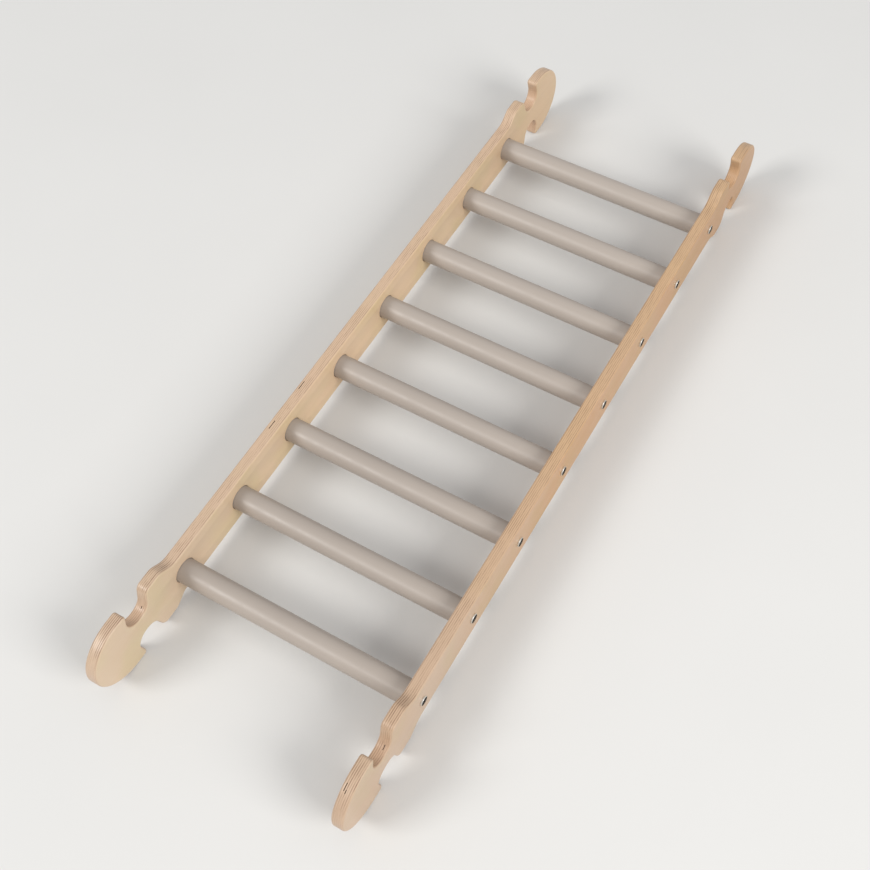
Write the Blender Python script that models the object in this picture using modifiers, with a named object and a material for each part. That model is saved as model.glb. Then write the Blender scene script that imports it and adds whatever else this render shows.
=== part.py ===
"""Hook-on monkey bars: a flat ladder of eight painted rungs between two plywood rails.

Units are metres and +Z is up. The ladder lies flat: the rungs run along X and the rails along Y.
The origin is on the floor, under the middle of the ladder. Each rail end is a head on a short neck
with a round hook notch above and below it. Each rung end sits in a blind socket in the rail, and a
bolt through the rail holds it by a threaded insert inside the rung.
"""
from math import atan2, ceil, cos, pi, radians, sin, sqrt, tan

import bmesh
import bpy
from mathutils import Vector

# Ladder
RUNG_COUNT = 8
RUNG_PITCH = 0.125
RUNG_DIAMETER = 0.035
CLEAR_WIDTH = 0.348          # between the rails' inner faces
GAP = 0.0003                 # left between pieces that touch

# Rail, a flat board on edge
RAIL_THICKNESS = 0.0175      # 18 mm nominal birch plywood
RAIL_HEIGHT = 0.074          # of the straight stretch
ARRIS_RADIUS = 0.0030        # the rounding along every edge of the board

# Rail end, in the rail's own plane: along = distance from mid-length, up = height over mid-height
SHOULDER_HALF_HEIGHT = 0.0515
NECK_HALF_HEIGHT = 0.0175
HEAD_HALF_HEIGHT = 0.057
HEAD_CENTRE = 0.557          # where the head's flat lands end and its round end starts
HEAD_LENGTH = 0.0605         # of the round end, past HEAD_CENTRE
END_CORNERS = (              # along, up, fillet radius
    (0.4505, RAIL_HEIGHT / 2, 0.025),
    (0.4715, SHOULDER_HALF_HEIGHT, 0.014),
    (0.5005, SHOULDER_HALF_HEIGHT, 0.011),
    (0.5100, NECK_HALF_HEIGHT, 0.017),
    (0.5485, NECK_HALF_HEIGHT, 0.018),
    (0.5395, HEAD_HALF_HEIGHT, 0.005),
)
FILLET_STEP = radians(20)
HEAD_STEPS = 9               # over a quarter of the head's round end

# Joint between rung and rail
SOCKET_DEPTH = 0.006
RUNG_CHAMFER = 0.0008
BOLT_DIAMETER = 0.006
BOLT_LENGTH = 0.030          # under the head
BOLT_HEAD_DIAMETER = 0.014
BOLT_HEAD_HEIGHT = 0.0022
BOLT_RIM_HEIGHT = 0.0015     # the head's straight side, under its rounded edge
BOLT_POINT_CHAMFER = 0.0006
HEX_ACROSS_FLATS = 0.004
HEX_DEPTH = 0.0019
INSERT_DIAMETER = 0.010
INSERT_LENGTH = 0.015
INSERT_RECESS = 0.0005       # below the rung's end face
INSERT_HOLE_DEPTH = 0.0215

# Worked out from the sizes above
MID_HEIGHT = HEAD_HALF_HEIGHT
INNER_FACE = CLEAR_WIDTH / 2
OUTER_FACE = INNER_FACE + RAIL_THICKNESS
RUNG_HALF_LENGTH = INNER_FACE + SOCKET_DEPTH - GAP
RUNG_PLACES = [(i - (RUNG_COUNT - 1) / 2) * RUNG_PITCH for i in range(RUNG_COUNT)]

# Facets round each turned shape
RUNG_SIDES = 32
BOLT_SIDES = 14
INSERT_SIDES = 12
HEAD_EDGE_STEPS = 3          # round the bolt head's rounded edge
ARRIS_STEPS = 3              # across a rail's rounded edge


# ---------------------------------------------------------------- scene

def clear_scene():
    for obj in list(bpy.data.objects):
        bpy.data.objects.remove(obj, do_unlink=True)


def make_collection(name):
    collection = bpy.data.collections.new(name)
    bpy.context.scene.collection.children.link(collection)
    return collection


def make_material(name, colour, roughness, metallic=0.0):
    material = bpy.data.materials.new(name)
    material.use_nodes = True
    shader = material.node_tree.nodes["Principled BSDF"]
    shader.inputs["Base Color"].default_value = (*colour, 1.0)
    shader.inputs["Roughness"].default_value = roughness
    shader.inputs["Metallic"].default_value = metallic
    material.diffuse_color = (*colour, 1.0)
    return material


def evaluated_mesh(obj, name):
    """A mesh of the object as its modifiers or its curve make it, with welded caps."""
    graph = bpy.context.evaluated_depsgraph_get()
    mesh = bpy.data.meshes.new_from_object(obj.evaluated_get(graph))
    mesh.name = name
    bm = bmesh.new()
    bm.from_mesh(mesh)
    bmesh.ops.remove_doubles(bm, verts=bm.verts, dist=0.00001)
    bmesh.ops.dissolve_limit(bm, angle_limit=radians(0.5), verts=bm.verts, edges=bm.edges)
    bm.to_mesh(mesh)
    bm.free()
    return mesh


def make_object(name, mesh, collection, material=None):
    obj = bpy.data.objects.new(name, mesh)
    collection.objects.link(obj)
    if material is not None and not mesh.materials:
        mesh.materials.append(material)
    return obj


def shade_round(mesh, sharp_angle=radians(35)):
    mesh.shade_smooth()
    mesh.set_sharp_from_angle(angle=sharp_angle)


def hide_cutter(cutter):
    cutter.hide_render = True
    cutter.display_type = "WIRE"


def cut(obj, cutter):
    boolean = obj.modifiers.new("cut_" + cutter.name, "BOOLEAN")
    boolean.operation = "DIFFERENCE"
    boolean.solver = "EXACT"
    boolean.object = cutter


# ---------------------------------------------------------------- shapes

def round_corners(corners):
    """Points along an open line of (along, up, radius) corners, each rounded by an arc."""
    points = []
    for before, corner, after in zip(corners, corners[1:], corners[2:]):
        middle = Vector(corner[:2])
        radius = corner[2]
        to_before = (Vector(before[:2]) - middle).normalized()
        to_after = (Vector(after[:2]) - middle).normalized()
        half_angle = to_before.angle(to_after) / 2
        centre = middle + (to_before + to_after).normalized() * (radius / sin(half_angle))
        start = middle + to_before * (radius / tan(half_angle)) - centre
        turn = start.angle_signed(middle + to_after * (radius / tan(half_angle)) - centre)
        steps = ceil(abs(turn) / FILLET_STEP)
        first = atan2(start.y, start.x)
        for step in range(steps + 1):
            angle = first - turn * step / steps
            points.append((centre.x + radius * cos(angle), centre.y + radius * sin(angle)))
    return points


def quarter_outline():
    """The upper half of one rail end, from the straight edge to the tip of the head."""
    start = (0.0, RAIL_HEIGHT / 2, 0.0)
    land_end = (HEAD_CENTRE, HEAD_HALF_HEIGHT, 0.0)
    points = round_corners((start, *END_CORNERS, land_end))
    for step in range(HEAD_STEPS + 1):
        angle = pi / 2 * (1 - step / HEAD_STEPS)
        points.append((HEAD_CENTRE + HEAD_LENGTH * cos(angle), HEAD_HALF_HEIGHT * sin(angle)))
    return points


def rail_outline():
    """The whole closed outline: the quarter mirrored up-down and end to end."""
    quarter = quarter_outline()
    right_half = quarter + [(along, -up) for along, up in reversed(quarter[:-1])]
    return right_half + [(-along, -up) for along, up in right_half]


def rail_board(name):
    """The board, centred on the origin, its thickness along X and its length along Y."""
    curve = bpy.data.curves.new(name + "_outline", "CURVE")
    curve.dimensions = "2D"
    curve.fill_mode = "BOTH"
    curve.extrude = RAIL_THICKNESS / 2
    spline = curve.splines.new("POLY")
    outline = rail_outline()
    spline.points.add(len(outline) - 1)
    for point, (along, up) in zip(spline.points, outline):
        point.co = (along, up, 0.0, 1.0)
    spline.use_cyclic_u = True
    guide = bpy.data.objects.new(name + "_outline", curve)
    bpy.context.scene.collection.objects.link(guide)
    guide.rotation_euler = (pi / 2, 0.0, pi / 2)
    bpy.context.view_layer.update()
    mesh = evaluated_mesh(guide, name)
    mesh.transform(guide.matrix_world)
    bpy.data.objects.remove(guide, do_unlink=True)
    return mesh


def turned_mesh(name, profile, sides, closed=False):
    """A profile of (radius, x) points turned about the X axis."""
    mesh = bpy.data.meshes.new(name + "_profile")
    count = len(profile)
    edges = [(i, i + 1) for i in range(count - 1)]
    if closed:
        edges.append((count - 1, 0))
    mesh.from_pydata([(x, 0.0, radius) for radius, x in profile], edges, [])
    turned = bpy.data.objects.new(name + "_profile", mesh)
    bpy.context.scene.collection.objects.link(turned)
    screw = turned.modifiers.new("turn", "SCREW")
    screw.axis = "X"
    screw.angle = 2 * pi
    screw.steps = sides
    screw.render_steps = sides
    screw.use_merge_vertices = True
    screw.merge_threshold = 0.00001
    bpy.context.view_layer.update()
    result = evaluated_mesh(turned, name)
    bpy.data.objects.remove(turned, do_unlink=True)
    bpy.data.meshes.remove(mesh)
    bm = bmesh.new()
    bm.from_mesh(result)
    bmesh.ops.recalc_face_normals(bm, faces=bm.faces)
    bm.to_mesh(result)
    bm.free()
    return result


def joined_copies(name, mesh, places):
    """One mesh that holds a copy of the given mesh at each place along Y."""
    bm = bmesh.new()
    for place in places:
        before = len(bm.verts)
        bm.from_mesh(mesh)
        bm.verts.ensure_lookup_table()
        bmesh.ops.translate(bm, verts=bm.verts[before:], vec=(0.0, place, 0.0))
    result = bpy.data.meshes.new(name)
    bm.to_mesh(result)
    bm.free()
    return result


# ---------------------------------------------------------------- rails

def make_rail_drill(cutters):
    """All of a rail's blind sockets, each with the bolt hole through its floor."""
    socket_radius = RUNG_DIAMETER / 2 + GAP
    hole_radius = BOLT_DIAMETER / 2 + GAP
    inner_face = -RAIL_THICKNESS / 2
    profile = (
        (0.0, inner_face - SOCKET_DEPTH),
        (socket_radius, inner_face - SOCKET_DEPTH),
        (socket_radius, inner_face + SOCKET_DEPTH),
        (hole_radius, inner_face + SOCKET_DEPTH),
        (hole_radius, RAIL_THICKNESS),
        (0.0, RAIL_THICKNESS),
    )
    single = turned_mesh("socket_drill", profile, RUNG_SIDES)
    drill = make_object("rail_drill", joined_copies("rail_drill", single, RUNG_PLACES), cutters)
    bpy.data.meshes.remove(single)
    hide_cutter(drill)
    return drill


def make_rails(parts, cutters, plywood):
    """Right rail with its sockets facing -X, and the left one turned to face it."""
    drill = make_rail_drill(cutters)
    board = make_object("rail_board", rail_board("rail_board"), cutters)
    bevel = board.modifiers.new("arris", "BEVEL")
    bevel.width = ARRIS_RADIUS
    bevel.segments = ARRIS_STEPS
    bevel.limit_method = "ANGLE"
    bevel.angle_limit = radians(45)
    cut(board, drill)
    bpy.context.view_layer.update()
    mesh = evaluated_mesh(board, "rail")
    bpy.data.objects.remove(board, do_unlink=True)
    shade_round(mesh)
    for name, side in (("rail_left", -1), ("rail_right", 1)):
        rail = make_object(name, mesh, parts, plywood)
        rail.location = (side * (OUTER_FACE - RAIL_THICKNESS / 2), 0.0, MID_HEIGHT)
        rail.rotation_euler = (0.0, 0.0, pi if side < 0 else 0.0)


# ---------------------------------------------------------------- rungs and their fixings

def make_rungs(parts, cutters, paint):
    """Round bars with a chamfered edge and a hole in each end for the insert."""
    hole_radius = INSERT_DIAMETER / 2 + GAP
    hole_end = RUNG_HALF_LENGTH - INSERT_HOLE_DEPTH
    radius = RUNG_DIAMETER / 2
    half_profile = (
        (radius, RUNG_HALF_LENGTH - RUNG_CHAMFER),
        (radius - RUNG_CHAMFER, RUNG_HALF_LENGTH),
        (hole_radius, RUNG_HALF_LENGTH),
        (hole_radius, hole_end),
        (0.0, hole_end),
    )
    profile = [(r, -x) for r, x in reversed(half_profile)] + list(half_profile)
    mesh = turned_mesh("rung", profile, RUNG_SIDES)
    shade_round(mesh)
    for number, place in enumerate(RUNG_PLACES, start=1):
        rung = make_object(f"rung_{number}", mesh, parts, paint)
        rung.location = (0.0, place, MID_HEIGHT)


def bolt_mesh(cutters):
    """A flat-headed bolt: its head's underside is at x = 0 and its shank points to -X."""
    shank_radius = BOLT_DIAMETER / 2
    head_radius = BOLT_HEAD_DIAMETER / 2
    edge_radius = BOLT_HEAD_HEIGHT - BOLT_RIM_HEIGHT
    edge = []
    for step in range(HEAD_EDGE_STEPS + 1):
        angle = pi / 2 * step / HEAD_EDGE_STEPS
        edge.append((head_radius - edge_radius * (1 - cos(angle)),
                     BOLT_RIM_HEIGHT + edge_radius * sin(angle)))
    profile = (
        (0.0, -BOLT_LENGTH),
        (shank_radius - BOLT_POINT_CHAMFER, -BOLT_LENGTH),
        (shank_radius, BOLT_POINT_CHAMFER - BOLT_LENGTH),
        (shank_radius, 0.0),
        (head_radius, 0.0),
        *edge,
        (0.0, BOLT_HEAD_HEIGHT),
    )
    blank = make_object("bolt_blank", turned_mesh("bolt_blank", profile, BOLT_SIDES), cutters)
    socket = bpy.data.meshes.new("hex_drill")
    bm = bmesh.new()
    corner_radius = HEX_ACROSS_FLATS / sqrt(3)
    bmesh.ops.create_cone(bm, cap_ends=True, segments=6, radius1=corner_radius,
                          radius2=corner_radius, depth=2 * HEX_DEPTH)
    bm.to_mesh(socket)
    bm.free()
    drill = make_object("hex_drill", socket, cutters)
    drill.rotation_euler = (0.0, pi / 2, 0.0)
    drill.location = (BOLT_HEAD_HEIGHT, 0.0, 0.0)
    hide_cutter(drill)
    cut(blank, drill)
    bpy.context.view_layer.update()
    mesh = evaluated_mesh(blank, "bolt")
    bpy.data.objects.remove(blank, do_unlink=True)
    return mesh


def insert_mesh():
    """A plain sleeve whose outer end is at x = 0; the bolt runs through its bore."""
    bore_radius = BOLT_DIAMETER / 2 + GAP
    outer_radius = INSERT_DIAMETER / 2
    profile = (
        (bore_radius, 0.0),
        (outer_radius, 0.0),
        (outer_radius, -INSERT_LENGTH),
        (bore_radius, -INSERT_LENGTH),
    )
    return turned_mesh("insert", profile, INSERT_SIDES, closed=True)


def make_fixings(parts, cutters, steel, zinc):
    """A bolt and an insert at each end of every rung."""
    bolt = bolt_mesh(cutters)
    insert = insert_mesh()
    for mesh in (bolt, insert):
        shade_round(mesh)
    for side_name, side in (("left", -1), ("right", 1)):
        turn = pi if side < 0 else 0.0
        for number, place in enumerate(RUNG_PLACES, start=1):
            fixings = (
                (f"bolt_{side_name}_{number}", bolt, steel, OUTER_FACE + GAP),
                (f"insert_{side_name}_{number}", insert, zinc, RUNG_HALF_LENGTH - INSERT_RECESS),
            )
            for name, mesh, material, distance in fixings:
                piece = make_object(name, mesh, parts, material)
                piece.location = (side * distance, place, MID_HEIGHT)
                piece.rotation_euler = (0.0, 0.0, turn)


def main():
    clear_scene()
    parts = make_collection("monkey_bars")
    cutters = make_collection("cutters")
    plywood = make_material("birch_plywood", (0.66, 0.50, 0.34), 0.5)
    paint = make_material("warm_grey_paint", (0.49, 0.44, 0.39), 0.4)
    steel = make_material("bright_zinc_steel", (0.66, 0.67, 0.66), 0.28, 1.0)
    zinc = make_material("zinc_insert", (0.55, 0.55, 0.53), 0.4, 1.0)
    make_rails(parts, cutters, plywood)
    make_rungs(parts, cutters, paint)
    make_fixings(parts, cutters, steel, zinc)


main()
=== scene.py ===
"""Looks for the hook-on monkey bars: plywood rails, painted rungs and zinc-plated fixings.

Metres, in the part's own frame: the rungs run along X, the rails along Y, and the floor is at z = 0.
"""

from math import atan2, ceil, cos, floor, hypot, pi, radians, sin, tan

import bmesh
import bpy
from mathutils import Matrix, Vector, noise
from mathutils.geometry import tessellate_polygon


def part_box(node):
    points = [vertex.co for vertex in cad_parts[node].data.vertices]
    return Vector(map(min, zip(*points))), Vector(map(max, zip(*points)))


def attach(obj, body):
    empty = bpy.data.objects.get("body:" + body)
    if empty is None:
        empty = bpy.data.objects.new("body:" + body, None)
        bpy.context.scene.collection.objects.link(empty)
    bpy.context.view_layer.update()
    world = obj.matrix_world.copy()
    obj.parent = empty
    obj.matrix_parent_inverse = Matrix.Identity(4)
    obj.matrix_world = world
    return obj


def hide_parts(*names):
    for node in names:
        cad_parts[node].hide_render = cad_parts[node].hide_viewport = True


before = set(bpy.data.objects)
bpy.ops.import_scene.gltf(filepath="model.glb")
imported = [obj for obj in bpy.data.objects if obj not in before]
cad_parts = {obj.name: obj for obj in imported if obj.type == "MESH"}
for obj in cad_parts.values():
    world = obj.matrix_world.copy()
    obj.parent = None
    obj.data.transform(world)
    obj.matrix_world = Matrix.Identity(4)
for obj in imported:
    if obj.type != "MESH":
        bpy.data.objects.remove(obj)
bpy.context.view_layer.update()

# Read from the frame
RUNG_COUNT = sum(1 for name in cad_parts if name.startswith("rung_"))
RAIL_LOW, RAIL_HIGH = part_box("rail_right")
INNER_FACE, OUTER_FACE = RAIL_LOW.x, RAIL_HIGH.x
THICKNESS = OUTER_FACE - INNER_FACE
HALF_LENGTH = RAIL_HIGH.y
MID_HEIGHT = (RAIL_LOW.z + RAIL_HIGH.z) / 2
HEAD_HALF_HEIGHT = (RAIL_HIGH.z - RAIL_LOW.z) / 2
RUNG_RADIUS = (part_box("rung_1")[1].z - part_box("rung_1")[0].z) / 2
RUNG_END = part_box("rung_1")[1].x
RUNG_PLACES = [(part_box(f"rung_{n}")[0].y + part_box(f"rung_{n}")[1].y) / 2
               for n in range(1, RUNG_COUNT + 1)]
BOLT_LOW, BOLT_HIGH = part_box("bolt_right_1")
INSERT_LOW, INSERT_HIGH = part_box("insert_right_1")

# Rail outline, in the rail's own plane: along = distance from mid-length, up = height over mid-height
RAIL_HALF_HEIGHT = 0.037
SHOULDER_HALF_HEIGHT = 0.0515
NECK_HALF_HEIGHT = 0.0175
HEAD_CENTRE = 0.557
END_CORNERS = (              # along, up, fillet radius
    (0.4505, RAIL_HALF_HEIGHT, 0.025),
    (0.4715, SHOULDER_HALF_HEIGHT, 0.014),
    (0.5005, SHOULDER_HALF_HEIGHT, 0.011),
    (0.5100, NECK_HALF_HEIGHT, 0.017),
    (0.5485, NECK_HALF_HEIGHT, 0.018),
    (0.5395, HEAD_HALF_HEIGHT, 0.005),
)
NOTCH_ALONG = 0.5275         # the middle of a hook notch
NOTCH_UP = 0.034
FILLET_STEP = radians(5)
HEAD_STEP = radians(2.5)
STRAIGHT_STEP = 0.005        # between points along the straight stretches

# Rail surface
ARRIS_RADIUS = 0.0030
ARRIS_VARIATION = 0.12       # of its radius, as hand sanding leaves it
ARRIS_WAVES = 60             # of the variation, in noise cells per metre
ARRIS_STEPS = 7
SUPPORT_WIDTH = 0.0002       # a flat border that keeps the big faces' shading flat
EDGE_RINGS = ARRIS_STEPS + 2         # over one rounded edge of the rim, its flat border included
EDGE_WIDTH = ARRIS_RADIUS * 1.2
PLY_COUNT = 13
PLY_EDGES = [p for p in range(PLY_COUNT + 1)       # those clear of the rounded edges
             if EDGE_WIDTH < THICKNESS * p / PLY_COUNT < THICKNESS - EDGE_WIDTH]
CORE_GAPS = (                # side, along, above or below mid-height, ply from the inner face, length
    (1, -0.588, 1, 3, 0.0110), (1, -0.590, 1, 5, 0.0050), (1, -0.519, 1, 8, 0.0070),
    (1, 0.402, -1, 5, 0.0080), (1, -0.190, -1, 7, 0.0080), (1, 0.604, -1, 5, 0.0060),
    (-1, -0.514, 1, 5, 0.0040), (-1, -0.220, 1, 8, 0.0130), (-1, -0.144, 1, 9, 0.0130),
    (-1, 0.330, -1, 7, 0.0080), (-1, -0.090, -1, 5, 0.0080), (-1, 0.596, 1, 7, 0.0060),
)
CORE_GAP_DEPTH = 0.0014
CORE_GAP_BORDER = 0.0002     # between a gap and its ply's glue lines
CORE_GAP_SLACK = 0.0010      # how much shorter than asked a gap may come out

# Joint between rung and rail
RUNG_GAP = 0.0005
INSERT_GAP = 0.0003
SOCKET_DEPTH = 0.006
SOCKET_LIP = 0.0007          # the softened edge of each socket
SOCKET_LIP_STEPS = 3
BOLT_HOLE_RADIUS = 0.0033

# Rungs
RUNG_CHAMFER = 0.0008
RUNG_CHAMFER_STEPS = 4
RUNG_STATIONS = 44           # rings between a rung's middle and its end
RUNG_CROWDING = 0.9          # under 1 sets them closer together towards the end
RUNG_UNEVENNESS = 0.00006
RUNG_WAVES_ALONG = 14        # of the unevenness, in noise cells per metre
RUNG_WAVES_ROUND = 0.6

# Bolts
BOLT_SIDES = 48
BOLT_HEAD_RADIUS = (BOLT_HIGH.z - BOLT_LOW.z) / 2
BOLT_HEAD_HEIGHT = 0.0022
BOLT_SIDE_HEIGHT = 0.0015    # the head's straight side, under its rounded edge
BOLT_HEAD_SEAT = 0.0002      # how much nearer to the rail the head sits than the CAD's
BOLT_EDGE_STEPS = 8
BOLT_RADIUS = 0.003
BOLT_PLAIN_LENGTH = 0.004    # of the shank, under the head
BOLT_PLAIN_RADIUS = BOLT_RADIUS - 0.0001
BOLT_TIP_RADIUS = BOLT_RADIUS - 0.0008
BOLT_TIP_LENGTH = 0.0006     # of the chamfer at the tip
THREAD_PITCH = 0.001
THREAD_DEPTH = 0.00055
THREAD_RINGS_PER_TURN = 6
HEX_ACROSS_FLATS = 0.004
HEX_DEPTH = 0.0019
HEX_CONE_DEPTH = 0.0006      # the drill point at the bottom of the recess

# Inserts
INSERT_SIDES = 36
INSERT_RADIUS = (INSERT_HIGH.z - INSERT_LOW.z) / 2
INSERT_COLLAR = 0.0012
INSERT_HOLE_DEPTH = 0.0215
INSERT_HOLE_POINT = 0.002    # the drill point at the bottom of its hole
INSERT_MOUTH_FLARE = 0.0003
INSERT_TAIL_LENGTH = 0.001
INSERT_TAIL_RADIUS = INSERT_RADIUS - 0.0011
INSERT_PITCH = 0.0025
INSERT_THREAD_DEPTH = 0.0009
INSERT_THREAD_RINGS = 48

# Both fixings
SMALL_EDGE = 0.0002          # the chamfer on their small edges
TURN_BY_RUNG = radians(23)   # each one stopped at a turn of its own
TURN_ON_RIGHT = 0.4

# Studio
FLOOR_HALF_SIZE = 60.0
LAMP_TINT = (1.0, 0.985, 0.96)
WORLD_STRENGTH = 0.62

# Meshes
ROUND_SIDES = 96             # round the rungs and their sockets
SHARP_ANGLE = radians(32)
SEED = 11


# ---------------------------------------------------------------- mesh helpers

def finished_mesh(name, bm, *materials):
    """A shaded mesh with its faces all outwards."""
    bmesh.ops.recalc_face_normals(bm, faces=bm.faces)
    mesh = bpy.data.meshes.new(name)
    bm.to_mesh(mesh)
    bm.free()
    mesh.shade_smooth()
    mesh.set_sharp_from_angle(angle=SHARP_ANGLE)
    for material in materials:
        mesh.materials.append(material)
    return mesh


def place_piece(name, mesh, node):
    """A piece that stands for a CAD node and rides with it."""
    piece = bpy.data.objects.new(name, mesh)
    bpy.context.scene.collection.objects.link(piece)
    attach(piece, "root")
    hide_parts(node)
    return piece


def add_ring(bm, points):
    return [bm.verts.new(point) for point in points]


def bridge(bm, ring_a, ring_b):
    """Quads between two closed rings with the same number of vertices."""
    count = len(ring_a)
    faces = []
    for i in range(count):
        j = (i + 1) % count
        faces.append(bm.faces.new((ring_a[i], ring_a[j], ring_b[j], ring_b[i])))
    return faces


def fill_flat(bm, outline, holes):
    """Triangles over a flat ring of vertices, around its holes."""
    rings = [outline, *holes]
    verts = [v for ring in rings for v in ring]
    for corners in tessellate_polygon([[v.co for v in ring] for ring in rings]):
        bm.faces.new([verts[i] for i in corners])


def round_ring(x, radius, centre_y=0.0, centre_z=0.0, sides=ROUND_SIDES):
    """Points of a circle about an axis along X. The radius may be a function of the angle."""
    points = []
    for i in range(sides):
        angle = 2 * pi * i / sides
        r = radius(angle) if callable(radius) else radius
        points.append((x, centre_y + r * cos(angle), centre_z + r * sin(angle)))
    return points


def skinned_mesh(name, rings, material, hollow=False):
    """A skin over a row of rings. A hollow one ends where it starts, and others get end caps."""
    bm = bmesh.new()
    loops = [add_ring(bm, points) for points in rings]
    for ring_a, ring_b in zip(loops, loops[1:]):
        bridge(bm, ring_a, ring_b)
    if hollow:
        bridge(bm, loops[-1], loops[0])
    else:
        bm.faces.new(loops[0])
        bm.faces.new(loops[-1])
    return finished_mesh(name, bm, material)


# ---------------------------------------------------------------- rail outline

def round_corners(corners, step):
    """Points along an open line of (along, up, radius) corners, each rounded by an arc."""
    points = []
    for before, corner, after in zip(corners, corners[1:], corners[2:]):
        middle = Vector(corner[:2])
        radius = corner[2]
        to_before = (Vector(before[:2]) - middle).normalized()
        to_after = (Vector(after[:2]) - middle).normalized()
        half_angle = to_before.angle(to_after) / 2
        centre = middle + (to_before + to_after).normalized() * (radius / sin(half_angle))
        reach = radius / tan(half_angle)
        start = middle + to_before * reach - centre
        end = middle + to_after * reach - centre
        turn = start.angle_signed(end)
        steps = ceil(abs(turn) / step)
        first = atan2(start.y, start.x)
        for i in range(steps + 1):
            angle = first - turn * i / steps
            points.append((centre.x + radius * cos(angle), centre.y + radius * sin(angle)))
    return points


def quarter_outline():
    """From the top at mid-length to the tip of a head at mid-height."""
    start = (0.0, RAIL_HALF_HEIGHT, 0.0)
    land_end = (HEAD_CENTRE, HEAD_HALF_HEIGHT, 0.0)
    points = [start[:2]] + round_corners((start, *END_CORNERS, land_end), FILLET_STEP)
    head_length = HALF_LENGTH - HEAD_CENTRE
    steps = ceil(pi / 2 / HEAD_STEP)
    for i in range(steps + 1):
        angle = pi / 2 * (1 - i / steps)
        points.append((HEAD_CENTRE + head_length * cos(angle), HEAD_HALF_HEIGHT * sin(angle)))
    return points


def rail_outline():
    """The whole closed outline, with its straight stretches divided."""
    quarter = quarter_outline()
    half = quarter + [(along, -up) for along, up in reversed(quarter[:-1])]
    closed = half[:-1] + [(-along, -up) for along, up in half[:-1]]
    points = []
    for (a, b), (c, d) in zip(closed, closed[1:] + closed[:1]):
        pieces = max(1, ceil(hypot(c - a, d - b) / STRAIGHT_STEP))
        points += [(a + (c - a) * i / pieces, b + (d - b) * i / pieces) for i in range(pieces)]
    return points


def outward_normals(points):
    """Unit normals of a clockwise outline, halfway between its neighbouring edges'."""
    normals = []
    for before, after in zip(points[-1:] + points[:-1], points[1:] + points[:1]):
        edge = Vector(after) - Vector(before)
        normals.append(Vector((-edge.y, edge.x)).normalized())
    return normals


# ---------------------------------------------------------------- rails

def rim_profile(arris_radius):
    """Points across the rim, inner face first: (x over mid-thickness, inset from the outline)."""
    half = THICKNESS / 2
    edge = [(-half, arris_radius + SUPPORT_WIDTH)]
    for step in range(ARRIS_STEPS + 1):
        angle = pi / 2 * step / ARRIS_STEPS
        edge.append((arris_radius * (1 - cos(angle)) - half, arris_radius * (1 - sin(angle))))
    flat = [(THICKNESS * p / PLY_COUNT - half, 0.0) for p in PLY_EDGES]
    return edge + flat + [(-x, inset) for x, inset in reversed(edge)]


def add_rim_rings(bm, side, outline):
    """Rings of vertices round the rim, from the inner face's border to the outer face's."""
    middle = side * (INNER_FACE + THICKNESS / 2)
    normals = outward_normals(outline)
    profiles = []
    for along, up in outline:
        wave = noise.noise((along * ARRIS_WAVES, up * ARRIS_WAVES, side * 7.0 + SEED))
        profiles.append(rim_profile(ARRIS_RADIUS * (1 + ARRIS_VARIATION * wave)))
    rings = []
    for stations in zip(*profiles):
        points = []
        for (along, up), normal, (x, inset) in zip(outline, normals, stations):
            points.append((middle + side * x, along - normal.x * inset,
                           MID_HEIGHT + up - normal.y * inset))
        rings.append(add_ring(bm, points))
    return rings


def add_rung_seat(bm, side, place):
    """A blind socket with a bolt hole in its floor. Returns the socket's and the hole's outer rings."""
    inner_x, outer_x = side * INNER_FACE, side * OUTER_FACE
    floor_x = side * (INNER_FACE + SOCKET_DEPTH)
    socket_radius = RUNG_RADIUS + RUNG_GAP
    profile = []
    for step in range(SOCKET_LIP_STEPS + 1):
        angle = pi / 2 * step / SOCKET_LIP_STEPS
        profile.append((inner_x + side * SOCKET_LIP * (1 - cos(angle)),
                        socket_radius + SOCKET_LIP * (1 - sin(angle))))
    profile += [(floor_x, socket_radius), (floor_x, BOLT_HOLE_RADIUS), (outer_x, BOLT_HOLE_RADIUS)]
    rings = [add_ring(bm, round_ring(x, radius, place, MID_HEIGHT)) for x, radius in profile]
    for ring_a, ring_b in zip(rings, rings[1:]):
        bridge(bm, ring_a, ring_b)
    return rings[0], rings[-1]


def cut_core_gaps(bm, side, outline, ply_faces):
    """Sinks short runs of the rim's faces, where a core ply's veneers don't quite meet."""
    bmesh.ops.recalc_face_normals(bm, faces=bm.faces)
    for gap_side, along, level, ply, length in CORE_GAPS:
        if gap_side != side:
            continue
        places = [i for i, (_, up) in enumerate(outline) if up * level > 0]
        first = min(places, key=lambda i: abs(outline[i][0] - along))
        last, run = first, 0.0
        while run < length - CORE_GAP_SLACK:
            here, there = outline[last], outline[(last + 1) % len(outline)]
            run += hypot(there[0] - here[0], there[1] - here[1])
            last += 1
        sunk = [ply_faces[ply][i % len(outline)] for i in range(first, last)]
        bmesh.ops.inset_region(bm, faces=sunk, thickness=CORE_GAP_BORDER, depth=0.0)
        walls = bmesh.ops.inset_region(bm, faces=sunk, thickness=0.0, depth=-CORE_GAP_DEPTH)["faces"]
        # The sunk faces and their walls take the second material, painted near-black as shade
        for face in sunk + walls:
            face.material_index = 1


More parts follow.
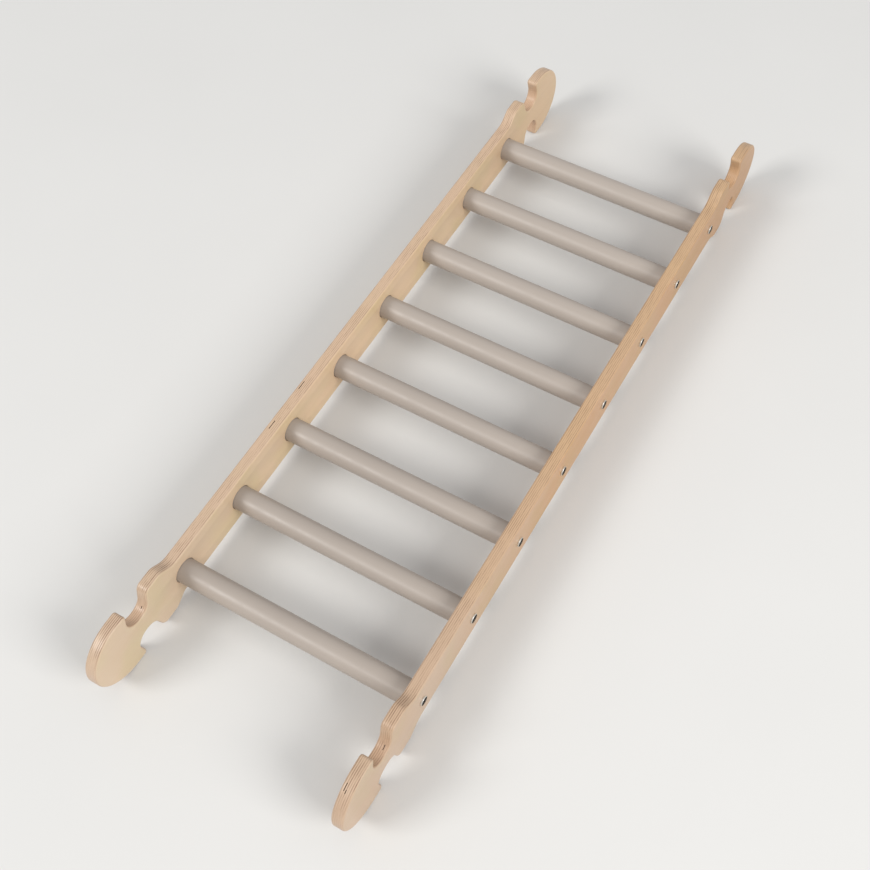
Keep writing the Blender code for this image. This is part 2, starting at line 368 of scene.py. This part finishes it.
def build_rail(side, plywood, gap_painted_shade):
    """One plywood rail: rounded rim, two flat faces, blind sockets and bolt holes."""
    outline = rail_outline()
    bm = bmesh.new()
    rings = add_rim_rings(bm, side, outline)
    rows = [bridge(bm, ring_a, ring_b) for ring_a, ring_b in zip(rings, rings[1:])]
    ply_faces = dict(zip(PLY_EDGES[:-1], rows[EDGE_RINGS:]))
    seats = [add_rung_seat(bm, side, place) for place in RUNG_PLACES]
    fill_flat(bm, rings[0], [socket for socket, _ in seats])
    fill_flat(bm, rings[-1], [bolt_hole for _, bolt_hole in seats])
    cut_core_gaps(bm, side, outline, ply_faces)
    name = "left" if side < 0 else "right"
    mesh = finished_mesh(f"plywood_rail_{name}", bm, plywood, gap_painted_shade)
    place_piece(f"plywood_rail_{name}", mesh, f"rail_{name}")


# ---------------------------------------------------------------- rungs and fixings

def body_radius(x, number):
    """A rung's radius at x, as a function of the angle round it: very slightly uneven."""
    def radius(angle):
        wave = noise.noise((x * RUNG_WAVES_ALONG, cos(angle) * RUNG_WAVES_ROUND + number * 3.1,
                            sin(angle) * RUNG_WAVES_ROUND + SEED))
        return RUNG_RADIUS - RUNG_UNEVENNESS + RUNG_UNEVENNESS * wave
    return radius


def build_rungs(material):
    """Painted round bars with softened ends and a hole in each end for an insert."""
    hole_radius = INSERT_RADIUS + INSERT_GAP
    hole_end = RUNG_END - INSERT_HOLE_DEPTH
    end = []
    for step in range(1, RUNG_CHAMFER_STEPS + 1):
        angle = pi / 2 * step / RUNG_CHAMFER_STEPS
        end.append((RUNG_END - RUNG_CHAMFER * (1 - sin(angle)),
                    RUNG_RADIUS - RUNG_CHAMFER * (1 - cos(angle))))
    end += [(RUNG_END, hole_radius), (hole_end, hole_radius), (hole_end - INSERT_HOLE_POINT, SMALL_EDGE)]
    half = [(i / RUNG_STATIONS) ** RUNG_CROWDING * (RUNG_END - RUNG_CHAMFER)
            for i in range(RUNG_STATIONS + 1)]
    stations = [-x for x in reversed(half[1:])] + half
    for number, place in enumerate(RUNG_PLACES, start=1):
        profile = [(-x, radius) for x, radius in reversed(end)]
        profile += [(x, body_radius(x, number)) for x in stations]
        profile += end
        rings = [round_ring(x, radius, place, MID_HEIGHT) for x, radius in profile]
        mesh = skinned_mesh(f"painted_rung_{number}", rings, material)
        place_piece(f"painted_rung_{number}", mesh, f"rung_{number}")


def hex_radius(angle):
    """Distance from the middle to the side of the bolt head's hex recess."""
    sector = radians(60)
    return HEX_ACROSS_FLATS / 2 / cos((angle % sector) - sector / 2)


def thread_ring(x, outer, depth, pitch, sides):
    """Points round a V thread, where the plane at x cuts it."""
    def radius(angle):
        turn = x / pitch - angle / (2 * pi)
        return outer - depth * abs(2 * (turn - floor(turn)) - 1)
    return round_ring(x, radius, sides=sides)


def bolt_mesh(material):
    """Flat head with a hex recess on a threaded shank. The CAD head's underside is at x = 0."""
    length = BOLT_HIGH.x - BOLT_LOW.x - BOLT_HEAD_HEIGHT
    edge_radius = BOLT_HEAD_HEIGHT - BOLT_SIDE_HEIGHT
    recess_floor = BOLT_HEAD_HEIGHT - HEX_DEPTH
    rings = [round_ring(-length, BOLT_TIP_RADIUS, sides=BOLT_SIDES)]
    x = BOLT_TIP_LENGTH - length
    while x < -BOLT_PLAIN_LENGTH:
        rings.append(thread_ring(x, BOLT_RADIUS, THREAD_DEPTH, THREAD_PITCH, BOLT_SIDES))
        x += THREAD_PITCH / THREAD_RINGS_PER_TURN
    head = [
        (-BOLT_PLAIN_LENGTH, BOLT_PLAIN_RADIUS),
        (-BOLT_HEAD_SEAT, BOLT_PLAIN_RADIUS),
        (-BOLT_HEAD_SEAT, BOLT_HEAD_RADIUS - SMALL_EDGE),
        (SMALL_EDGE - BOLT_HEAD_SEAT, BOLT_HEAD_RADIUS),
    ]
    for step in range(BOLT_EDGE_STEPS + 1):
        angle = pi / 2 * step / BOLT_EDGE_STEPS
        head.append((BOLT_SIDE_HEIGHT + edge_radius * sin(angle),
                     BOLT_HEAD_RADIUS - edge_radius * (1 - cos(angle))))
    head += [
        (BOLT_HEAD_HEIGHT, lambda angle: hex_radius(angle) + SMALL_EDGE),
        (BOLT_HEAD_HEIGHT - SMALL_EDGE, hex_radius),
        (recess_floor, hex_radius),
        (recess_floor - HEX_CONE_DEPTH, SMALL_EDGE),
    ]
    rings += [round_ring(x, radius, sides=BOLT_SIDES) for x, radius in head]
    return skinned_mesh("bolt", rings, material)


def insert_mesh(material):
    """A threaded sleeve: coarse thread outside, plain bore inside. Its mouth is at x = 0."""
    length = INSERT_HIGH.x - INSERT_LOW.x
    bore = BOLT_RADIUS + INSERT_GAP
    thread_length = length - INSERT_COLLAR - INSERT_TAIL_LENGTH
    mouth = [(0.0, bore + INSERT_MOUTH_FLARE), (0.0, INSERT_RADIUS - SMALL_EDGE),
             (-SMALL_EDGE, INSERT_RADIUS), (-INSERT_COLLAR, INSERT_RADIUS)]
    tail = [(-length, INSERT_TAIL_RADIUS), (-length, bore)]
    rings = [round_ring(x, radius, sides=INSERT_SIDES) for x, radius in mouth]
    for i in range(1, INSERT_THREAD_RINGS):
        x = -INSERT_COLLAR - thread_length * i / INSERT_THREAD_RINGS
        rings.append(thread_ring(x, INSERT_RADIUS, INSERT_THREAD_DEPTH, INSERT_PITCH, INSERT_SIDES))
    rings += [round_ring(x, radius, sides=INSERT_SIDES) for x, radius in tail]
    return skinned_mesh("insert", rings, material, hollow=True)


def build_fixings(bolt_steel, insert_zinc):
    """A bolt and an insert at each end of each rung."""
    kinds = (                # name, mesh, slot, how far the mesh's x = 0 is from its outer end
        ("bolt", bolt_mesh(bolt_steel), "bolt_steel", BOLT_HEAD_HEIGHT),
        ("insert", insert_mesh(insert_zinc), "insert_zinc", 0.0),
    )
    for side, side_name in ((-1, "left"), (1, "right")):
        for number, place in enumerate(RUNG_PLACES, start=1):
            turn = TURN_BY_RUNG * number + (TURN_ON_RIGHT if side > 0 else 0.0)
            for kind, mesh, slot, inward in kinds:
                node = f"{kind}_{side_name}_{number}"
                low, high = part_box(node)
                outer_end = high.x if side > 0 else low.x
                piece = place_piece(f"zinc_{node}", mesh, node)
                piece.location = (outer_end - side * inward, place, MID_HEIGHT)
                piece.rotation_euler = (turn, 0.0, pi if side < 0 else 0.0)


# ---------------------------------------------------------------- materials

class Graph:
    """Builds one material's nodes. Arguments may be sockets or plain values."""

    def __init__(self, name):
        self.material = bpy.data.materials.new(name)
        self.material.use_nodes = True
        self.tree = self.material.node_tree
        self.shader = self.tree.nodes["Principled BSDF"]
        self.place = self.node("ShaderNodeTexCoord").outputs["Object"]

    def node(self, kind, inputs=(), **settings):
        made = self.tree.nodes.new(kind)
        for key, value in settings.items():
            setattr(made, key, value)
        for key, value in dict(inputs).items():
            self.put(made.inputs[key], value)
        return made

    def put(self, socket, value):
        if isinstance(value, bpy.types.NodeSocket):
            self.tree.links.new(value, socket)
        else:
            socket.default_value = value

    def math(self, operation, *values, clamp=False):
        made = self.node("ShaderNodeMath", operation=operation, use_clamp=clamp)
        for socket, value in zip(made.inputs, values):
            self.put(socket, value)
        return made.outputs[0]

    def times(self, first, *others):
        product = first
        for other in others:
            product = self.math("MULTIPLY", product, other)
        return product

    def plus(self, a, b, clamp=False):
        return self.math("ADD", a, b, clamp=clamp)

    def minus(self, a, b):
        return self.math("SUBTRACT", a, b)

    def absolute(self, value):
        return self.math("ABSOLUTE", value)

    def hypot(self, a, b):
        """How far (a, b) is from (0, 0)."""
        return self.math("SQRT", self.plus(self.math("POWER", a, 2.0), self.math("POWER", b, 2.0)))

    # A Mix node's sockets: 0 is the share, 2 and 3 take numbers, 6 and 7 take colours
    def mix(self, share, a, b, blend="MIX"):
        """A colour between a and b."""
        made = self.node("ShaderNodeMix", data_type="RGBA", blend_type=blend)
        for socket, value in zip((made.inputs[0], made.inputs[6], made.inputs[7]), (share, a, b)):
            self.put(socket, value)
        return made.outputs[2]

    def blend(self, share, a, b):
        """A number between a and b."""
        made = self.node("ShaderNodeMix", data_type="FLOAT")
        for socket, value in zip((made.inputs[0], made.inputs[2], made.inputs[3]), (share, a, b)):
            self.put(socket, value)
        return made.outputs[0]

    def vector(self, x, y, z):
        return self.node("ShaderNodeCombineXYZ", {"X": x, "Y": y, "Z": z}).outputs[0]

    def split(self, vector):
        return self.node("ShaderNodeSeparateXYZ", {"Vector": vector}).outputs

    def noise(self, vector, scale=1.0, detail=3.0, roughness=0.55):
        made = self.node("ShaderNodeTexNoise", {
            "Vector": vector, "Scale": scale, "Detail": detail, "Roughness": roughness})
        return made.outputs[0]

    def ramp(self, value, low, high, to_low=0.0, to_high=1.0, smooth=True):
        """value's stretch from low to high, as to_low to to_high."""
        made = self.node("ShaderNodeMapRange", {
            "Value": value, "From Min": low, "From Max": high, "To Min": to_low, "To Max": to_high})
        made.interpolation_type = "SMOOTHSTEP" if smooth else "LINEAR"
        return made.outputs[0]

    def bump(self, height, distance):
        return self.node("ShaderNodeBump", {"Height": height, "Distance": distance}).outputs[0]

    def finish(self, **inputs):
        """Sets the shader's inputs, named with _ for each space."""
        for key, value in inputs.items():
            self.put(self.shader.inputs[key.replace("_", " ")], value)
        return self.material


def colour(red, green, blue):
    return (red, green, blue, 1.0)


class PlyLayout:
    """Where a point lies in the plywood: its ply, and how that ply's grain meets the surface."""

    def __init__(self, g):
        self.graph = g
        self.x, self.y, self.z = g.split(g.place)
        facing = g.split(g.node("ShaderNodeNewGeometry").outputs["Normal"])
        self.side_shift = g.times(g.math("SIGN", self.x), 9.7)       # gives each rail its own wood
        self.rim = g.ramp(g.absolute(facing[0]), 0.92, 0.6)

        depth = g.math("DIVIDE", g.minus(g.absolute(self.x), INNER_FACE), THICKNESS)
        waver = g.noise(g.vector(self.side_shift, self.y, self.z), scale=14.0, detail=2.0)
        depth = g.plus(depth, g.times(g.minus(waver, 0.5), 0.016))
        self.depth = g.times(g.math("MINIMUM", g.math("MAXIMUM", depth, 0.001), 0.999), PLY_COUNT)
        self.ply = g.math("FLOOR", self.depth)
        self.from_middle = g.absolute(g.minus(g.math("FRACT", self.depth), 0.5))

        # Every other ply's grain runs across the board
        across_board = g.math("MODULO", self.ply, 2.0)
        self.along = g.blend(across_board, self.y, self.z)
        self.across = g.blend(across_board, self.z, self.y)
        self.layer = g.plus(g.times(self.ply, 3.3), self.side_shift)
        end_on = g.blend(across_board, g.absolute(facing[1]), g.absolute(facing[2]))
        self.end_on = g.times(g.ramp(end_on, 0.30, 0.85), g.blend(across_board, 0.45, 1.0))

    def fibres(self, per_metre_along, per_metre_across, detail, roughness=0.55):
        """Noise drawn out along the ply's grain."""
        g = self.graph
        stretched = g.vector(g.times(self.along, per_metre_along),
                             g.times(self.across, per_metre_across), self.layer)
        return g.noise(stretched, detail=detail, roughness=roughness)


def notch_mask(g, wood):
    """The tight notches' walls, where the cutter smears the plies and leaves them browner, the browning
    partly painted shade in the notch's hollow.
    """
    notch_along = g.minus(g.absolute(wood.y), NOTCH_ALONG)
    notch_up = g.minus(g.absolute(g.minus(wood.z, MID_HEIGHT)), NOTCH_UP)
    return g.times(g.ramp(g.hypot(notch_along, notch_up), 0.026, 0.016), wood.rim)


def stripe_mask(g, wood, in_notch):
    """The plies' end grain, each ply and each stretch of it more or less strong."""
    ply_strength = g.node("ShaderNodeTexWhiteNoise", {"Vector": g.vector(wood.ply, wood.side_shift, 0.0)})
    ply_strength = g.ramp(ply_strength.outputs["Value"], 0.0, 1.0, 0.68, 1.0, smooth=False)
    stretch = g.noise(g.vector(wood.layer, g.times(wood.y, 40.0), g.times(wood.z, 40.0)), detail=4.0)
    fade = g.noise(g.vector(wood.side_shift, wood.y, wood.z), scale=9.0, detail=2.0)
    return g.times(
        g.ramp(stretch, 0.36, 0.60, 0.30, 1.0),
        g.ramp(fade, 0.36, 0.58, 0.42, 1.0),
        g.ramp(g.absolute(wood.y), 0.40, 0.47, 0.62, 1.0),       # stronger on the rail ends
        g.ramp(wood.y, 0.40, 0.52, 1.0, 0.7),                    # but less so at the far one
        ply_strength,
        g.ramp(wood.from_middle, 0.48, 0.25),                    # soft towards the glue lines
        wood.end_on,
        wood.rim,
        g.ramp(in_notch, 0.0, 1.0, 1.0, 0.6, smooth=False),      # smeared in the notches
    )


def glue_mask(g, wood):
    """The glue lines between the plies, broken and faint."""
    broken = g.vector(g.math("ROUND", wood.depth), g.times(wood.y, 60.0), g.times(wood.z, 60.0))
    broken = g.noise(broken, detail=3.0)
    return g.times(g.ramp(wood.from_middle, 0.42, 0.48), g.ramp(broken, 0.40, 0.62, 0.1, 0.75), wood.rim)


def plywood_material(name, near_face, far_face, near_edge, far_edge):
    """Birch plywood as a solid: thirteen plies, every other one's grain across the board.

    Where a ply's grain comes out of the surface it shows as a brown stripe of end grain, and
    elsewhere as pale long fibres, so the stripes swap over from a rail's top edge to its end.
    """
    g = Graph(name)
    wood = PlyLayout(g)
    in_notch = notch_mask(g, wood)

    # Pale wood, from the near end's colour to the far end's: painted light and shade for how the light
    # falls along the rails, with random clouds of tone over it
    cloud = g.noise(g.vector(wood.side_shift, wood.y, wood.z), scale=6.0, detail=2.0)
    tone = g.plus(g.ramp(wood.y, -0.60, 0.0, 0.0, 0.95), g.ramp(cloud, 0.3, 0.7, -0.15, 0.15), clamp=True)
    pale = g.mix(tone, near_face, far_face)
    warm = g.noise(g.vector(g.plus(wood.side_shift, 4.0), wood.y, wood.z), scale=13.0, detail=2.0)
    pale = g.mix(g.ramp(warm, 0.42, 0.68, 0.0, 0.8), pale, colour(0.95, 1.0, 0.89), blend="MULTIPLY")

    # Long fibres, from broad figure to single pores
    figure = wood.fibres(7.0, 70.0, detail=3.0)
    streak = wood.fibres(26.0, 600.0, detail=4.0, roughness=0.6)
    fibre = wood.fibres(90.0, 3200.0, detail=2.0)
    pale = g.mix(g.ramp(figure, 0.45, 0.75, 0.0, 0.17), pale, colour(0.60, 0.42, 0.265))
    pale = g.mix(g.ramp(streak, 0.5, 0.8, 0.0, 0.16), pale, colour(0.56, 0.39, 0.25))
    pale = g.mix(g.ramp(fibre, 0.66, 0.78, 0.0, 0.22), pale, colour(0.43, 0.29, 0.18))
    # The rim in its own colour, also going from near to far as painted light and shade
    pale = g.mix(g.times(wood.rim, 0.75), pale, g.mix(tone, near_edge, far_edge))

    # Painted shade: both faces a little darker towards the far end, where the light falls off
    painted_far_shade = g.times(g.ramp(wood.y, 0.1, 0.56), g.minus(1.0, wood.rim))
    pale = g.mix(painted_far_shade, pale, colour(0.87, 0.86, 0.83), blend="MULTIPLY")

    # Brown end grain, glue and notches over it
    cells = g.noise(g.vector(g.times(wood.x, 1500.0), g.times(wood.across, 1500.0), wood.layer), detail=2.0)
    brown = g.mix(g.ramp(cells, 0.3, 0.7), colour(0.145, 0.074, 0.040), colour(0.28, 0.160, 0.095))
    glue = glue_mask(g, wood)
    surface = g.mix(stripe_mask(g, wood, in_notch), pale, brown)
    surface = g.mix(glue, surface, colour(0.24, 0.135, 0.075))
    # Browner in the notches: partly cutter burn, partly painted shade
    surface = g.mix(g.times(in_notch, 0.50), surface, colour(0.84, 0.74, 0.68), blend="MULTIPLY")

    rough = g.blend(wood.end_on, g.ramp(streak, 0.3, 0.7, 0.40, 0.50), g.ramp(cells, 0.3, 0.7, 0.50, 0.64))
    fine = g.plus(g.times(fibre, 0.35), g.times(streak, 0.65))
    relief = g.blend(wood.end_on, fine, g.times(cells, 0.8))
    relief = g.minus(relief, g.times(glue, 0.6))
    return g.finish(Base_Color=surface, Roughness=rough, Normal=g.bump(relief, 0.00008),
                    Coat_Weight=0.27, Coat_Roughness=0.26)


def core_gap_shade_material():
    """The torn wood inside a gap in the plywood's core, painted near-black: painted shade, deeper than the
    gap alone casts.
    """
    g = Graph("core_gap_painted_shade")
    grain = g.noise(g.place, scale=1600.0, detail=3.0)
    wood = g.mix(g.ramp(grain, 0.3, 0.7), colour(0.030, 0.017, 0.010), colour(0.085, 0.048, 0.028))
    return g.finish(Base_Color=wood, Roughness=0.85, Normal=g.bump(grain, 0.0001),
                    Specular_IOR_Level=0.2)


def paint_material():
    """Warm light grey satin paint over a turned wooden bar."""
    g = Graph("warm_grey_paint")
    x, y, z = g.split(g.place)
    cloud = g.noise(g.place, scale=9.0, detail=2.0)
    # Painted light and shade: the near rungs' paint a little darker and the far ones' lighter, for how the
    # light falls along the ladder
    shaded_paint = g.mix(g.ramp(y, -0.44, 0.44), colour(0.368, 0.318, 0.277), colour(0.415, 0.363, 0.319))
    shaded_paint = g.mix(g.ramp(cloud, 0.3, 0.7, 0.0, 0.4), shaded_paint, colour(0.410, 0.358, 0.314))
    grain = g.noise(g.vector(g.times(x, 12.0), g.times(y, 300.0), g.times(z, 300.0)), detail=3.0)
    shaded_paint = g.mix(g.ramp(grain, 0.45, 0.75, 0.0, 0.12), shaded_paint, colour(0.34, 0.29, 0.25))

    # Relief: orange peel, the wood's grain under it, and a few specks of dust
    peel = g.noise(g.place, scale=620.0, detail=2.0)
    spots = g.node("ShaderNodeTexVoronoi", {"Vector": g.place, "Scale": 42.0})
    chosen = g.math("GREATER_THAN", g.split(spots.outputs["Color"])[0], 0.72)
    nib = g.times(g.ramp(spots.outputs["Distance"], 0.045, 0.0), chosen)
    relief = g.plus(g.times(peel, 0.30), g.times(grain, 0.5))
    relief = g.plus(relief, g.times(nib, 3.0))
    rough = g.ramp(g.noise(g.place, scale=60.0, detail=3.0), 0.3, 0.7, 0.37, 0.45)
    return g.finish(Base_Color=shaded_paint, Roughness=rough, Normal=g.bump(relief, 0.00006))


def steel_material(name, bright, dull, front, low_rough, high_rough):
    """Zinc-plated steel with faint clouding and fine scratches. A head's flat front, its hex recess
    included, is painted dark: a painted reflection of dark ground and shade.
    """
    g = Graph(name)
    x, y, z = g.split(g.place)
    cloud = g.noise(g.place, scale=420.0, detail=3.0)
    scratch = g.noise(g.vector(g.times(x, 900.0), g.times(y, 5200.0), g.times(z, 700.0)), detail=2.0)
    plate = g.mix(g.ramp(cloud, 0.35, 0.7), bright, dull)

    # The flat front of a head, inside its rounded edge
    on_front = g.times(g.ramp(g.hypot(y, z), BOLT_HEAD_RADIUS - 0.0002, BOLT_HEAD_RADIUS - 0.0009),
                       g.math("GREATER_THAN", x, -2 * BOLT_HEAD_SEAT))
    # Painted reflection: the flat front and its recess get a dark colour and a dark reflection tint
    plate = g.mix(on_front, plate, front)
    front_painted_reflection_tint = g.mix(on_front, colour(1.0, 1.0, 1.0), front)

    wear = g.plus(g.times(cloud, 0.5), g.times(scratch, 0.5))
    rough = g.ramp(wear, 0.35, 0.65, low_rough, high_rough)
    return g.finish(Base_Color=plate, Roughness=rough, Metallic=1.0, Specular_Tint=front_painted_reflection_tint,
                    Normal=g.bump(scratch, 0.000012))


# ---------------------------------------------------------------- studio

def build_floor():
    bm = bmesh.new()
    bmesh.ops.create_grid(bm, x_segments=1, y_segments=1, size=FLOOR_HALF_SIZE)
    mesh = bpy.data.meshes.new("studio_floor")
    bm.to_mesh(mesh)
    bm.free()
    g = Graph("pale_floor")
    tone = g.mix(g.noise(g.place, scale=3.0), colour(0.66, 0.655, 0.64), colour(0.69, 0.685, 0.67))
    mesh.materials.append(g.finish(Base_Color=tone, Roughness=0.75))
    studio_floor = bpy.data.objects.new("studio_floor", mesh)
    bpy.context.scene.collection.objects.link(studio_floor)


def add_lamp(name, location, size, power):
    """A soft rectangular lamp, aimed at the floor under the ladder's middle."""
    light = bpy.data.lights.new(name, "AREA")
    light.shape = "RECTANGLE"
    light.size, light.size_y = size
    light.energy = power
    light.color = LAMP_TINT
    lamp = bpy.data.objects.new(name, light)
    bpy.context.scene.collection.objects.link(lamp)
    lamp.location = location
    lamp.rotation_euler = (-Vector(location)).to_track_quat("-Z", "Y").to_euler()


def build_lights():
    add_lamp("key", location=(-3.9, -4.9, 5.1), size=(3.1, 2.6), power=300.0)
    add_lamp("fill", location=(5.1, -1.0, 3.5), size=(3.2, 2.6), power=235.0)
    world = bpy.data.worlds.new("studio")
    world.use_nodes = True
    background = world.node_tree.nodes["Background"]
    background.inputs["Color"].default_value = colour(0.97, 0.98, 1.0)
    background.inputs["Strength"].default_value = WORLD_STRENGTH
    bpy.context.scene.world = world
    bpy.context.scene.view_settings.view_transform = "Standard"


def build_camera():
    """Above the ladder's near right corner, looking down along it."""
    data = bpy.data.cameras.new("camera")
    data.sensor_width = 36.0
    data.lens = 49.774
    data.shift_x = -0.0673
    data.shift_y = -0.0145
    camera = bpy.data.objects.new("camera", data)
    bpy.context.scene.collection.objects.link(camera)
    camera.location = (0.5272, -0.8274, 1.4993)
    camera.rotation_euler = (radians(32.267), radians(0.591), radians(29.236))
    bpy.context.scene.camera = camera


# ---------------------------------------------------------------- the scene

# Each rail's colours go from its near end to its far end, a change that paints light and shade along it
birch_left = plywood_material(
    "birch_plywood_left",
    near_face=colour(0.608, 0.468, 0.332), far_face=colour(0.70, 0.506, 0.330),
    near_edge=colour(0.545, 0.388, 0.274), far_edge=colour(0.58, 0.408, 0.285))
birch_right = plywood_material(
    "birch_plywood_right",
    near_face=colour(0.520, 0.386, 0.280), far_face=colour(0.507, 0.288, 0.142),
    near_edge=colour(0.520, 0.362, 0.250), far_edge=colour(0.575, 0.388, 0.228))
core_gap = core_gap_shade_material()
bright_zinc = steel_material(
    "bright_zinc", bright=colour(0.88, 0.88, 0.84), dull=colour(0.76, 0.76, 0.73),
    front=colour(0.17, 0.165, 0.155), low_rough=0.34, high_rough=0.46)
dull_zinc = steel_material(
    "dull_zinc", bright=colour(0.62, 0.61, 0.57), dull=colour(0.50, 0.50, 0.48),
    front=colour(0.45, 0.45, 0.43), low_rough=0.38, high_rough=0.52)
build_rail(-1, birch_left, core_gap)
build_rail(1, birch_right, core_gap)
build_rungs(paint_material())
build_fixings(bright_zinc, dull_zinc)
build_floor()
build_lights()
build_camera()
